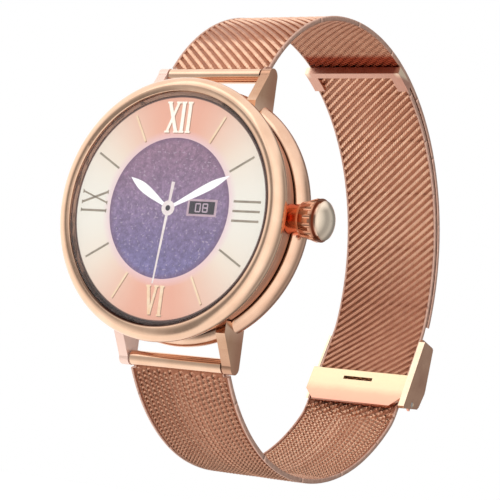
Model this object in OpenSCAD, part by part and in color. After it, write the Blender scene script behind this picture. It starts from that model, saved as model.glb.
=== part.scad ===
/* [Case] */
// Outer radius of the front bezel ring
bezel_r = 21; // [19:0.1:23]
// Radius of the rounded bezel section
bezel_tube_r = 1.7; // [1.2:0.1:2]
// Visible radius of the display
display_r = 17.9; // [16:0.1:18]
// Thickness of the cover glass
glass_t = 0.8; // [0.6:0.1:1.2]
// Radius of the flat upper case band
band_r = 19.35; // [18.8:0.05:19.8]
// Largest radius of the bright convex case band
bulge_r = 20.9; // [19.8:0.05:21]
// Depth of the case from the glass to the back cover
case_depth = 12; // [11:0.1:14]

/* [Lugs] */
// Clear gap between the lug arms
lug_gap = 18; // [16:1:22]
// Thickness of one lug arm
lug_t = 1.7; // [1.6:0.1:2.4]
// Distance of the spring bar axis from the case centre line
bar_z = 23.2; // [22:0.1:25]
// Distance of the spring bar axis behind the glass
bar_y = 9.4; // [8:0.1:10]

/* [Crown] */
// Largest radius of the crown knob
crown_r = 3.35; // [2.6:0.05:3.6]
// Distance of the crown axis behind the glass
crown_y = 6.2; // [5:0.1:7]
// Outer end of the crown
crown_x = 26.4; // [24:0.1:28]
// Number of flutes around the crown
crown_flutes = 16; // [12:1:20]

/* [Strap] */
// Width of the mesh strap
strap_w = 18.9; // [17.4:0.1:19.5]
// Thickness of the mesh
strap_t = 1; // [0.8:0.05:1.2]
// Middle radius of the closed loop
loop_r = 39.3; // [36:0.1:42]
// Middle radius of the tail that lies inside the loop
tail_r = 38; // [35:0.1:40]
// Distance of the loop centre behind the glass
loop_y = 38.3; // [35:0.1:42]
// Play at each hinge of the strap links
link_gap = 0.06; // [0.05:0.01:0.1]
// Angle round the loop where the tail ends
tail_end = 66; // [40:1:70]

/* [Clasp] */
// Length of the sliding base
base_l = 7; // [5:0.5:9]
// Thickness of the clasp sheet
sheet_t = 0.45; // [0.4:0.05:0.5]

/* [Hidden] */
$fn = 96;
eps = 0.01;
e_x = 0.02;

// Circle where the strap leaves each lug, tangent to the main loop
lead_a = 102;
lead_dy = loop_y + loop_r * cos(lead_a) - bar_y;
lead_dz = loop_r * sin(lead_a) - bar_z;
lead_turn = 2 * (atan2(lead_dz, lead_dy) - (lead_a - 90));
lead_r = norm([lead_dy, lead_dz]) / 2 / sin(lead_turn / 2);
lead_c = [loop_y + (loop_r - lead_r) * cos(lead_a), (loop_r - lead_r) * sin(lead_a)];
loop_c = [loop_y, 0];
link_lip = 0.35;
nose_r = strap_t / 2 - 0.03;
top_step = 19;
low_end = -43;
low_step = (lead_a + low_end) / 3;
tail_a = -15;
tail_step = (tail_end - tail_a) / 5;

// Straight link inside the clasp
clasp_o = loop_c + loop_r * [cos(low_end), sin(low_end)];
clasp_e = loop_c + tail_r * [cos(tail_a), sin(tail_a)];
clasp_l = norm(clasp_e - clasp_o);
clasp_dir = atan2(clasp_e[1] - clasp_o[1], clasp_e[0] - clasp_o[0]);
base_s = 2.3;
base_in = 0.65;
wall_x = strap_w / 2 + 0.12;
flange_x = wall_x + sheet_t + 0.1;
corner = 2.1;
low_flange = -0.6;
lip_w = 0.75;
pin_s = 5.2;
pin_n = 2.6;
pin_r = 0.5;

// Frame round the end of the tail: angles of its arms and bar, width of an arm
frame_arm = 5.6;
frame_bar = 2.2;
frame_side = 1.8;

// Case sections
bezel_c = bezel_r - bezel_tube_r;
bezel_y = 1.45;
glass_r = 18.55;
ledge_y = 0.95;
bore_r = 17.4;
band_y0 = 3.4;
band_y1 = 6.6;
bulge_y0 = 6.8;
bulge_y1 = 10.6;
bulge_h = (bulge_y1 - bulge_y0) / 2;
bulge_s = bulge_r - band_r;
bulge_cr = (bulge_h * bulge_h + bulge_s * bulge_s) / 2 / bulge_s;
back_y = 10.6;
back_r = 18.35;
window_r = 7.9;
screw_ring = 16.4;
tip_r = 0.42;
tip_hole = 0.47;
tube_r = 0.75;
end_r = 1.2;
end_w = lug_gap - 0.6;
lug_end = 1.25;
lug_front = 5.2;
lug_front_z = 18.4;
hole_x = lug_gap / 2 + 1.3;
shoulder_r = 1.6;
stem_r = 1;
neck_r = 2.4;
neck_x = 21.85;
motor_y = 5.2;
motor_z = -13.2;

gold = [0.86, 0.62, 0.5];
dark = [0.1, 0.1, 0.11];

// Revolves a profile drawn as (radius, depth) round the case axis
module spin() {
  rotate([-90, 0, 0])
    rotate_extrude($fn = 180)
      children();
}

// Extrudes a profile drawn as (depth, height) across the watch
module across(x0, x1) {
  translate([x0, 0, 0])
    rotate([90, 0, 90])
      linear_extrude(x1 - x0)
        children();
}

// Cylinder along the case axis
module post(x, z, r, y0, y1) {
  translate([x, y0, z])
    rotate([-90, 0, 0])
      cylinder(r = r, h = y1 - y0);
}

// Cylinder along X
module rod(y, z, r, x0, x1) {
  translate([x0, y, z])
    rotate([0, 90, 0])
      cylinder(r = r, h = x1 - x0);
}

module block(x0, x1, y0, y1, z0, z1) {
  translate([x0, y0, z0])
    cube([x1 - x0, y1 - y0, z1 - z0]);
}

module bezel_ring() {
  color(gold)
    spin()
      difference() {
        union() {
          translate([bezel_c, bezel_y]) circle(r = bezel_tube_r);
          translate([display_r + 0.1, bezel_y]) square([19.2 - display_r - 0.1, band_y0 - bezel_y]);
        }
        translate([0, -3]) square([glass_r + 0.1, ledge_y + 3]);
        translate([0, -3]) square([display_r + 0.1, 9]);
        translate([glass_r - 0.1, -0.31]) rotate(45) square(0.5);
      }
}

module cover_glass() {
  color([0.8, 0.85, 0.9, 0.4])
    spin()
      polygon([[0, 0], [glass_r - 0.25, 0], [glass_r, 0.25], [glass_r, glass_t], [0, glass_t]]);
}

module glass_gasket() {
  color(dark)
    spin()
      translate([display_r + 0.15, glass_t]) square([0.5, ledge_y - glass_t]);
}

module display_panel() {
  color([0.55, 0.35, 0.5])
    spin()
      translate([0, glass_t]) square([display_r, 1.2]);
}

module display_flex() {
  color([0.75, 0.45, 0.15]) {
    block(-5, 5, 2, 2.15, -16.35, -12);
    block(-5, 5, 2.15, 7.3, -16.35, -16.2);
  }
}

module mid_profile() {
  difference() {
    union() {
      translate([bore_r, band_y0]) square([18.9 - bore_r, bulge_y1 - band_y0]);
      translate([bore_r, band_y0 + 0.4]) square([band_r - bore_r, band_y1 - band_y0 - 0.4]);
      intersection() {
        translate([bulge_r - bulge_cr, (bulge_y0 + bulge_y1) / 2]) circle(r = bulge_cr);
        translate([bore_r, bulge_y0]) square([4, bulge_y1 - bulge_y0]);
      }
      polygon([[bore_r, bulge_y1], [19.1, bulge_y1], [18.8, 11.2], [back_r + 0.1, 11.2],
        [back_r + 0.1, back_y - 0.1], [bore_r, back_y - 0.1]]);
      translate([15.2, 9.3]) square([bore_r - 15.2, back_y - 9.4]);
    }
    translate([bore_r, back_y - 0.1]) square([back_r + 0.1 - bore_r, 2]);
  }
}

module lug_arm(side, up) {
  x0 = side > 0 ? lug_gap / 2 : -lug_gap / 2 - lug_t;
  difference() {
    across(x0, x0 + lug_t) {
      translate([bar_y, up * bar_z]) circle(r = lug_end);
      polygon([[lug_front, up * 14], [lug_front, up * lug_front_z], [bar_y - lug_end, up * bar_z],
        [bar_y + lug_end, up * bar_z], [bar_y + lug_end, up * 14]]);
    }
    post(0, 0, band_r + 0.2, 4, 12);
    rod(bar_y, up * bar_z, tip_hole, side > 0 ? 8 : -hole_x, side > 0 ? hole_x : -8);
  }
}

module mid_case() {
  color(gold)
    difference() {
      union() {
        spin() mid_profile();
        for (side = [-1, 1], up = [-1, 1]) lug_arm(side, up);
      }
      rod(crown_y, 0, 1.9, 15, 22);
      rod(crown_y, 0, neck_r, band_r, 22);
      for (a = [45:90:315]) post(screw_ring * cos(a), screw_ring * sin(a), 0.45, 9.4, 11);
    }
}

module inner_frame() {
  color([0.25, 0.25, 0.27])
    difference() {
      union() {
        post(0, 0, 17.2, 2.25, 3);
        spin() translate([16.5, 3]) square([0.7, 4.2]);
      }
      block(-5.4, 5.4, 1, 9, -18, -15.9);
      block(14, 19, 3.1, 9, -2.6, 2.6);
    }
}

module battery() {
  color([0.2, 0.22, 0.25]) {
    block(-11, 8, 3.1, 6.9, -10, 11);
    block(-4, 2, 4, 6, 11, 12);
  }
}

module main_board() {
  color([0.05, 0.3, 0.15])
    difference() {
      post(0, 0, 16.3, 7.3, 8.1);
      block(-5.4, 5.4, 7, 9, -18, -15.9);
      block(14.2, 17, 7, 9, -2.2, 2.2);
      for (a = [45:90:315]) post(14.6 * cos(a), 14.6 * sin(a), 0.6, 7, 9);
    }
}

module board_chips() {
  color(dark) {
    block(-9, -2, 8.1, 9, -3.5, 3.5);
    block(0.5, 5.5, 8.1, 8.9, -2.5, 2.5);
    block(7, 11, 8.1, 9, 2, 6);
    block(7, 10, 8.1, 8.8, -6, -2);
    for (i = [0:5]) block(-8 + 3 * i, -6.6 + 3 * i, 8.1, 8.6, 7, 7.8);
  }
}

module motor_can() {
  color([0.75, 0.75, 0.76])
    difference() {
      rod(motor_y, motor_z, 1.6, -6.5, 0);
      rod(motor_y, motor_z, 0.45, -5.5, 1);
    }
}

module motor_rotor() {
  color([0.6, 0.58, 0.5]) {
    rod(motor_y, motor_z, 0.4, -5.3, 4.4);
    difference() {
      rod(motor_y, motor_z, 1.5, 0.5, 4.2);
      block(0, 5, motor_y - 2, motor_y + 2, motor_z + 0.3, motor_z + 2);
    }
  }
}

module sensor_board() {
  color([0.05, 0.3, 0.15])
    post(0, 0, 7.2, 9.4, 9.9);
  color([0.2, 0.8, 0.3])
    for (a = [0:90:270]) post(3.4 * cos(a), 3.4 * sin(a), 0.8, 9.9, 10.3);
}

module sensor_window() {
  color([0.06, 0.06, 0.08])
    spin()
      polygon([[0, back_y - 0.1], [window_r, back_y - 0.1], [window_r, 12.1], [window_r - 0.3, 12.4],
        [0, 12.4]]);
}

module case_back() {
  color([0.3, 0.28, 0.28])
    difference() {
      spin()
        difference() {
          polygon([[window_r + 0.1, back_y], [back_r, back_y], [back_r, 11.2], [back_r - 0.8, case_depth],
            [window_r + 0.1, case_depth]]);
          translate([12.3, case_depth - 0.15]) square([0.5, 1]);
        }
      for (a = [45:90:315]) {
        post(screw_ring * cos(a), screw_ring * sin(a), 0.55, 10, 13);
        post(screw_ring * cos(a), screw_ring * sin(a), 1.1, 11.4, 13);
      }
      for (i = [-1, 1]) post(i * 2, -10.4, 0.85, 10, 13);
    }
}

module back_gasket() {
  color(dark)
    spin()
      translate([bore_r + 0.1, back_y - 0.1]) square([0.8, 0.1]);
}

module back_screws() {
  color([0.5, 0.48, 0.47])
    for (a = [45:90:315])
      difference() {
        union() {
          post(screw_ring * cos(a), screw_ring * sin(a), 0.45, 9.5, 11.5);
          post(screw_ring * cos(a), screw_ring * sin(a), 1, 11.4, 11.95);
        }
        translate([screw_ring * cos(a), 11.85, screw_ring * sin(a)])
          for (k = [0, 90]) rotate([0, k, 0]) cube([1.2, 0.4, 0.25], center = true);
      }
}

module charge_contacts() {
  color([0.9, 0.75, 0.4])
    for (i = [-1, 1]) post(i * 2, -10.4, 0.8, 10.3, 12.05);
}

module crown_knob() {
  color(gold)
    difference() {
      translate([0, crown_y, 0])
        rotate([0, 90, 0])
          rotate_extrude($fn = 120)
            difference() {
              union() {
                polygon([[0, 22], [2.8, 22], [crown_r, 24], [crown_r, 24.7], [0, 24.7]]);
                translate([0, 21.7]) square([2.8, 0.4]);
                intersection() {
                  translate([0, crown_x - 4.6]) circle(r = 4.6);
                  translate([0, 24.7]) square([3, 3]);
                }
              }
              translate([-1, 21]) square([neck_r + 1.1, 1.4]);
              translate([-1, 22]) square([stem_r + 1, 1.5]);
            }
      for (i = [1:crown_flutes])
        translate([21.5, crown_y + (crown_r + 0.12) * cos(i * 360 / crown_flutes),
          (crown_r + 0.12) * sin(i * 360 / crown_flutes)])
          rotate([0, 90, 0]) cylinder(r = 0.42, h = 2.9, $fn = 24);
    }
}

module crown_stem() {
  color([0.7, 0.68, 0.66])
    difference() {
      rod(crown_y, 0, stem_r, 13.2, 23.5);
      difference() {
        rod(crown_y, 0, 1.5, 16.3, 16.7);
        rod(crown_y, 0, 0.75, 16, 17);
      }
    }
}

module crown_tube() {
  color([0.9, 0.5, 0.3])
    difference() {
      union() {
        rod(crown_y, 0, 1.9, 16.9, neck_x);
        rod(crown_y, 0, neck_r - 0.02, band_r, neck_x);
      }
      rod(crown_y, 0, stem_r + 0.06, 16, 23);
      rod(crown_y, 0, 1.5, 19.6, 20.4);
    }
}

module crown_seal() {
  color(dark)
    difference() {
      rod(crown_y, 0, 1.5, 19.6, 20.4);
      rod(crown_y, 0, stem_r + 0.06, 19, 21);
    }
}

module crown_clip() {
  color([0.6, 0.6, 0.6])
    difference() {
      rod(crown_y, 0, 1.8, 16.35, 16.65);
      rod(crown_y, 0, 0.8, 16, 17);
      block(16, 17, crown_y - 0.6, crown_y + 0.6, 0, 3);
    }
}

module crown_switch() {
  color(dark)
    block(9, 12, 5, 7.2, -2.2, 2.2);
  color([0.7, 0.7, 0.7])
    rod(crown_y, 0, 0.8, 12, 12.6);
}

module bar_tube(up) {
  color([0.62, 0.6, 0.58])
    difference() {
      rod(bar_y, up * bar_z, tube_r, -8.6, 8.6);
      rod(bar_y, up * bar_z, tip_hole, 4.8, 9);
      rod(bar_y, up * bar_z, tip_hole, -9, -4.8);
    }
}

module bar_top() { bar_tube(1); }

module bar_low() { bar_tube(-1); }

module bar_tip(side, up) {
  color([0.7, 0.68, 0.66])
    rod(bar_y, up * bar_z, tip_r, side > 0 ? 6.4 : -10, side > 0 ? 10 : -6.4);
}

module tip_top_right() { bar_tip(1, 1); }

module tip_top_left() { bar_tip(-1, 1); }

module tip_low_right() { bar_tip(1, -1); }

module tip_low_left() { bar_tip(-1, -1); }

module end_tube(up) {
  color(gold)
    difference() {
      rod(bar_y, up * bar_z, end_r, -end_w / 2, end_w / 2);
      rod(bar_y, up * bar_z, tube_r + 0.05, -9, 9);
    }
}

module end_tube_top() { end_tube(1); }

module end_tube_low() { end_tube(-1); }

// Ring sector of the mesh between two angles, as (depth, height)
module sector(c, r, a0, a1) {
  lo = min(a0, a1);
  hi = max(a0, a1);
  far = r + 4;
  translate(c)
    difference() {
      intersection() {
        circle(r = r + strap_t / 2, $fn = 180);
        polygon([[0, 0], far * [cos(lo), sin(lo)], far * [cos((lo + hi) / 2), sin((lo + hi) / 2)],
          far * [cos(hi), sin(hi)]]);
      }
      circle(r = r - strap_t / 2, $fn = 180);
    }
}

// One rigid link: rounded nose at angle a0, matching socket at angle a1
module link(c, r, a0, a1, w = strap_w, nose = true, socket = true) {
  n = c + r * [cos(a0), sin(a0)];
  s = c + r * [cos(a1), sin(a1)];
  cut = link_lip / r * 180 / PI * sign(a1 - a0);
  difference() {
    across(-w / 2, w / 2) sector(c, r, a0, socket ? a1 - cut : a1);
    if (!nose) rod(n[0], n[1], end_r, -w, w);
    if (socket) rod(s[0], s[1], strap_t / 2 + link_gap, -w, w);
  }
  if (nose) rod(n[0], n[1], nose_r, -w / 2, w / 2);
}

mesh = [0.78, 0.55, 0.45];

// Clears the lug arms beside the first link
module shoulders(up) {
  for (side = [-1, 1])
    rod(bar_y, up * bar_z, shoulder_r, side > 0 ? end_w / 2 : -strap_w, side > 0 ? strap_w : -end_w / 2);
}

module top_lead(i) {
  color(mesh)
    link(lead_c, lead_r, lead_a + lead_turn * (2 - i) / 2, lead_a + lead_turn * (1 - i) / 2, nose = i > 0);
}

module top_arc(i) {
  color(mesh)
    link(loop_c, loop_r, lead_a - top_step * i, lead_a - top_step * (i + 1), nose = true, socket = i < 6);
}

module low_lead(i) {
  color(mesh)
    link([lead_c[0], -lead_c[1]], lead_r, -lead_a - lead_turn * (2 - i) / 2,
      -lead_a - lead_turn * (1 - i) / 2, nose = i > 0);
}

module low_arc(i) {
  color(mesh)
    link(loop_c, loop_r, -lead_a + low_step * i, -lead_a + low_step * (i + 1));
}

module tail_arc(i) {
  color(mesh)
    link(loop_c, tail_r, tail_a + tail_step * i, tail_a + tail_step * (i + 1), socket = i < 4);
}

module top_link_1() {
  difference() {
    top_lead(0);
    shoulders(1);
  }
}

module top_link_2() { top_lead(1); }

module top_link_3() { top_arc(0); }

module top_link_4() { top_arc(1); }

module top_link_5() { top_arc(2); }

module top_link_6() { top_arc(3); }

module top_link_7() { top_arc(4); }

module top_link_8() { top_arc(5); }

module low_link_1() {
  difference() {
    low_lead(0);
    shoulders(-1);
  }
}

module low_link_2() { low_lead(1); }

module low_link_3() { low_arc(0); }

module low_link_4() { low_arc(1); }

module low_link_5() { low_arc(2); }

// Places children in the clasp frame: Y along the strap, -Z outwards
module clasp_at() {
  translate([0, clasp_o[0], clasp_o[1]])
    rotate([clasp_dir, 0, 0])
      children();
}

module low_link_6() {
  color(mesh)
    clasp_at()
      difference() {
        union() {
          block(-strap_w / 2, strap_w / 2, 0, clasp_l - link_lip, -strap_t / 2, strap_t / 2);
          rod(0, 0, nose_r, -strap_w / 2, strap_w / 2);
        }
        rod(clasp_l, 0, strap_t / 2 + link_gap, -strap_w, strap_w);
      }
}

module low_link_7() { tail_arc(0); }

module low_link_8() { tail_arc(1); }

module low_link_9() { tail_arc(2); }

module low_link_10() { tail_arc(3); }

module low_link_11() {
  difference() {
    tail_arc(4);
    for (side = [-1, 1])
      scale([side, 1, 1])
        across(strap_w / 2 - frame_side, strap_w)
          translate(loop_c)
            polygon([[0, 0], 44 * [cos(tail_end - frame_arm), sin(tail_end - frame_arm)],
              44 * [cos(tail_end + 2), sin(tail_end + 2)]]);
  }
}

// Polished U shaped frame round the end of the tail
module tail_frame() {
  w = strap_w + 0.6;
  color(gold)
    difference() {
      across(-w / 2, w / 2)
        translate(loop_c)
          difference() {
            intersection() {
              circle(r = tail_r + 0.55, $fn = 180);
              polygon([[0, 0], 44 * [cos(tail_end - frame_arm), sin(tail_end - frame_arm)],
                44 * [cos(tail_end + frame_bar), sin(tail_end + frame_bar)]]);
            }
            circle(r = tail_r - 0.85, $fn = 180);
          }
      across(frame_side - strap_w / 2, strap_w / 2 - frame_side)
        translate(loop_c)
          polygon([[0, 0], 44 * [cos(tail_end - 8), sin(tail_end - 8)],
            44 * [cos(tail_end), sin(tail_end)]]);
    }
}

// Sheet tongue on the end of the upper strap, bent to lie flat in the clasp
module strap_tongue() {
  e = loop_c + loop_r * [cos(low_end + 31), sin(low_end + 31)];
  h = low_end + 31 + 90;
  k = e - 4 * [cos(h), sin(h)];
  f = k - 8 * [cos(clasp_dir), sin(clasp_dir)];
  m = 0.35 * [sin(h), -cos(h)];
  q = 0.35 * [sin(clasp_dir), -cos(clasp_dir)];
  b = (m + q) / 2;
  color(gold)
    difference() {
      across(-7, 7)
        polygon([e + m, k + b, f + q, f - q, k - b, e - m]);
      clasp_at() block(-4, 4, 8.4, 12.4, -4, -1);
    }
}

module flange_shape() {
  polygon([[2.3, 1.2], [2.6, 1.6], [16.1, 1.9], [16.9, 1.3], [17.7, -2.9], [17.5, -3.3], [9.9, -5.5],
    [9.2, -5.6], [6.1, -5.15], [5.5, -4.8], [3.6, -1.2]]);
}

module clasp_base() {
  color(gold)
    clasp_at() {
      difference() {
        across(-wall_x - sheet_t, wall_x + sheet_t)
          polygon([[base_s, base_in], [base_s + base_l, base_in], [base_s + base_l, base_in + 0.5],
            [base_s + base_l - 0.2, base_in + 0.7], [base_s + 0.2, base_in + 0.7],
            [base_s, base_in + 0.5]]);
        block(-3, 3, base_s + base_l - 2.2, base_s + base_l - 1.5, 0, 3);
        for (i = [-1, 1])
          translate([i * (wall_x + sheet_t), base_s, 0])
            rotate([0, 0, 45]) cube([corner * sqrt(2), corner * sqrt(2), 6], center = true);
      }
      for (i = [-1, 1])
        difference() {
          across(i > 0 ? wall_x : -wall_x - sheet_t, i > 0 ? wall_x + sheet_t : -wall_x)
            polygon([[base_s + corner, base_in + 0.01], [base_s + base_l, base_in + 0.01],
              [base_s + base_l, -1.2], [pin_s + 1.2, -3.3], [pin_s - 1, -3.3], [base_s + corner, -1.6]]);
          rod(pin_s, -pin_n, pin_r, -12, 12);
        }
      block(-wall_x - eps, wall_x + eps, base_s + 2, base_s + base_l, -1.1, -0.65);
    }
}

module clasp_cover() {
  color(gold)
    clasp_at() {
      for (i = [-1, 1])
        difference() {
          across(i > 0 ? flange_x : -flange_x - sheet_t, i > 0 ? flange_x + sheet_t : -flange_x)
            flange_shape();
          rod(pin_s, -pin_n, pin_r + 0.05, -12, 12);
          if (i < 0) block(-13, -9, 0, 20, low_flange, 4);
        }
      across(flange_x + sheet_t - eps, flange_x + sheet_t + lip_w)
        polygon([[2.6, 1.6], [16.1, 1.9], [16.3, 1.5], [2.4, 1.2]]);
      across(-flange_x - e_x, flange_x + e_x)
        polygon([[6.1, -5.15], [9.2, -5.6], [9.9, -5.5], [17.5, -3.3], [17.35, -2.65], [9.8, -4.85],
          [9.2, -4.95], [6.15, -4.5]]);
    }
}

module clasp_pin() {
  color([0.65, 0.6, 0.58])
    clasp_at()
      rod(pin_s, -pin_n, pin_r, -flange_x - sheet_t + 0.1, flange_x + sheet_t - 0.1);
}

bezel_ring();
cover_glass();
glass_gasket();
display_panel();
display_flex();
mid_case();
inner_frame();
battery();
main_board();
board_chips();
motor_can();
motor_rotor();
sensor_board();
sensor_window();
case_back();
back_gasket();
back_screws();
charge_contacts();
crown_knob();
crown_stem();
crown_tube();
crown_seal();
crown_clip();
crown_switch();
bar_top();
bar_low();
tip_top_right();
tip_top_left();
tip_low_right();
tip_low_left();
end_tube_top();
end_tube_low();
top_link_1();
top_link_2();
top_link_3();
top_link_4();
top_link_5();
top_link_6();
top_link_7();
top_link_8();
strap_tongue();
low_link_1();
low_link_2();
low_link_3();
low_link_4();
low_link_5();
low_link_6();
low_link_7();
low_link_8();
low_link_9();
low_link_10();
low_link_11();
tail_frame();
clasp_base();
clasp_cover();
clasp_pin();
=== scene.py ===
import bpy
import math
import numpy as np
from mathutils import Matrix, Vector


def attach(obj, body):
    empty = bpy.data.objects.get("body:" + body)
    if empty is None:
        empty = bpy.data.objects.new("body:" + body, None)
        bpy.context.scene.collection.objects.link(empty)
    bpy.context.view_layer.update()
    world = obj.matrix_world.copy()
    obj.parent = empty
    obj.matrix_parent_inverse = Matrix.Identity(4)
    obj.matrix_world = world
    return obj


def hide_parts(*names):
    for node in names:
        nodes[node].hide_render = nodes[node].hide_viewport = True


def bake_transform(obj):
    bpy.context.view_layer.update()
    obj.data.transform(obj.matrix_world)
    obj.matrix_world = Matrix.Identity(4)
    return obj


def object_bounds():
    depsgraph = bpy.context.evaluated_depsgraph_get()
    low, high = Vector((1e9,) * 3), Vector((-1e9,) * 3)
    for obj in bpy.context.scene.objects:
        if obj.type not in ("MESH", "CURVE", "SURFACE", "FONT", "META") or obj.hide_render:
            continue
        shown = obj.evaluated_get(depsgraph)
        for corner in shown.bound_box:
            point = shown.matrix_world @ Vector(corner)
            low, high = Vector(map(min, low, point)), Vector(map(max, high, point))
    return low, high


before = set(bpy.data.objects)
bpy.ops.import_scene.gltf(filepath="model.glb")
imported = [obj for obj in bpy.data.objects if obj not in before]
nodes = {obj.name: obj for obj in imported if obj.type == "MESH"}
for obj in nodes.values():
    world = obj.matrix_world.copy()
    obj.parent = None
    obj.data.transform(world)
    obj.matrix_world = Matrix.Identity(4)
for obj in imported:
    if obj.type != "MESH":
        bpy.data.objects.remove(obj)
cad_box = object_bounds()
MM = 0.001
D = math.pi / 180


# ---------------------------------------------------------------- materials
def linear(c):
    """One 8 bit display value as linear light."""
    return (c / 255 / 12.92) if c <= 10 else ((c / 255 + 0.055) / 1.055) ** 2.4


def srgb(r, g, b):
    return linear(r), linear(g), linear(b)


# A lit display's own colour reflects DIM of itself; the ring and the disc emit GLOW of it
DIM, GLOW = (0.4, 0.4, 0.4), 0.52


class Graph:
    """Shorthand for one node tree; an operand is a number, a colour of three parts or a socket."""

    def __init__(self, tree):
        self.tree = tree

    def node(self, kind, **props):
        n = self.tree.nodes.new(kind)
        for k, v in props.items():
            setattr(n, k, v)
        return n

    def link(self, a, b):
        self.tree.links.new(a, b)

    def feed(self, socket, x):
        if isinstance(x, (int, float)):
            socket.default_value = x
        elif isinstance(x, tuple):
            socket.default_value = (*x, 1)
        else:
            self.link(x, socket)

    def math(self, op, *operands):
        n = self.node("ShaderNodeMath", operation=op)
        for i, x in enumerate(operands):
            self.feed(n.inputs[i], x)
        return n.outputs[0]

    def mul(self, a, b):
        return self.math("MULTIPLY", a, b)

    def sub(self, a, b):
        return self.math("SUBTRACT", a, b)

    def hypot(self, a, b):
        return self.math("SQRT", self.math("ADD", self.mul(a, a), self.mul(b, b)))

    def ramp(self, fac, *stops):
        n = self.node("ShaderNodeValToRGB")
        el = n.color_ramp.elements
        while len(el) < len(stops):
            el.new(0.5)
        for e, (p, c) in zip(el, stops):
            e.position = p
            e.color = (*c, 1)
        self.link(fac, n.inputs["Fac"])
        return n.outputs["Color"]

    def remap(self, v, a, b, c, d):
        """v taken from the range a..b to the range c..d and held at its ends."""
        n = self.node("ShaderNodeMapRange")
        for i, x in zip((1, 2, 3, 4), (a, b, c, d)):
            n.inputs[i].default_value = x
        self.link(v, n.inputs[0])
        return n.outputs[0]

    def mix(self, fac, a, b, how="MIX"):
        n = self.node("ShaderNodeMix", data_type="RGBA", blend_type=how)
        for i, x in ((0, fac), (6, a), (7, b)):
            self.feed(n.inputs[i], x)
        return n.outputs[2]


class Mat(Graph):
    """One Principled material, patterned in its object's own coordinates (metres)."""

    def __init__(self, name, **consts):
        self.m = bpy.data.materials.new(name)
        self.m.use_nodes = True
        super().__init__(self.m.node_tree)
        self.b = self.tree.nodes["Principled BSDF"]
        for k, v in consts.items():
            self.b.inputs[k.replace("_", " ")].default_value = v
        self.place = None

    def coords(self, stretch=1.0):
        if self.place is None:
            self.place = self.node("ShaderNodeTexCoord").outputs["Object"]
        if stretch == 1.0:
            return self.place
        n = self.node("ShaderNodeMapping")
        n.inputs["Scale"].default_value = stretch
        self.link(self.place, n.inputs["Vector"])
        return n.outputs[0]

    def noise(self, scale, detail=3.0, rough=0.55, stretch=1.0):
        n = self.node("ShaderNodeTexNoise")
        n.inputs["Scale"].default_value = scale
        n.inputs["Detail"].default_value = detail
        n.inputs["Roughness"].default_value = rough
        self.link(self.coords(stretch), n.inputs["Vector"])
        return n.outputs["Fac"]

    def split(self, vector):
        n = self.node("ShaderNodeSeparateXYZ")
        self.link(vector, n.inputs[0])
        return n.outputs

    def xyz(self):
        return self.split(self.coords())

    def put(self, socket, v):
        self.link(v, self.b.inputs[socket])

    def bump(self, height, strength, dist):
        n = self.node("ShaderNodeBump")
        n.inputs["Strength"].default_value = strength
        n.inputs["Distance"].default_value = dist
        self.link(height, n.inputs["Height"])
        self.link(n.outputs[0], self.b.inputs["Normal"])

    def gloss(self, low, high):
        """Polished roughness between low and high in a fine mottle."""
        return self.remap(self.noise(2600, 2, 0.7), 0.3, 0.75, low, high)

    def tint(self, mask, c, by):
        """c, multiplied by a colour where the mask is 1."""
        return self.mix(mask, c, self.mix(1.0, c, by, "MULTIPLY"))

    def display(self, c, strength):
        """Finish as a lit display that emits its own colour."""
        self.put("Base Color", self.mix(1.0, c, DIM, "MULTIPLY"))
        self.put("Emission Color", c)
        self.b.inputs["Emission Strength"].default_value = strength
        return self.m


GOLD = srgb(240, 204, 177)
GOLD_D = srgb(228, 188, 160)


def polished(name, a=GOLD, b=GOLD_D, r0=0.1, r1=0.2):
    m = Mat(name, Metallic=1.0)
    m.put("Base Color", m.ramp(m.noise(180, 4), (0.3, b), (0.7, a)))
    m.put("Roughness", m.gloss(r0, r1))
    m.bump(m.noise(900, 5), 0.04, 0.00005)
    return m.m


def satin(name, a, b, r0, r1, scale=900):
    m = Mat(name, Metallic=1.0)
    n = m.noise(scale, 4, 0.6, (1, 1, 1))
    m.put("Base Color", m.ramp(n, (0.3, b), (0.72, a)))
    m.put("Roughness", m.remap(n, 0.25, 0.75, r0, r1))
    m.bump(n, 0.12, 0.00004)
    return m.m


def plastic(name, a, b, r0=0.35, r1=0.6):
    m = Mat(name)
    n = m.noise(700, 4)
    m.put("Base Color", m.ramp(n, (0.35, a), (0.7, b)))
    m.put("Roughness", m.remap(n, 0.3, 0.7, r0, r1))
    m.bump(m.noise(2100, 2), 0.15, 0.00003)
    return m.m


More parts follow.
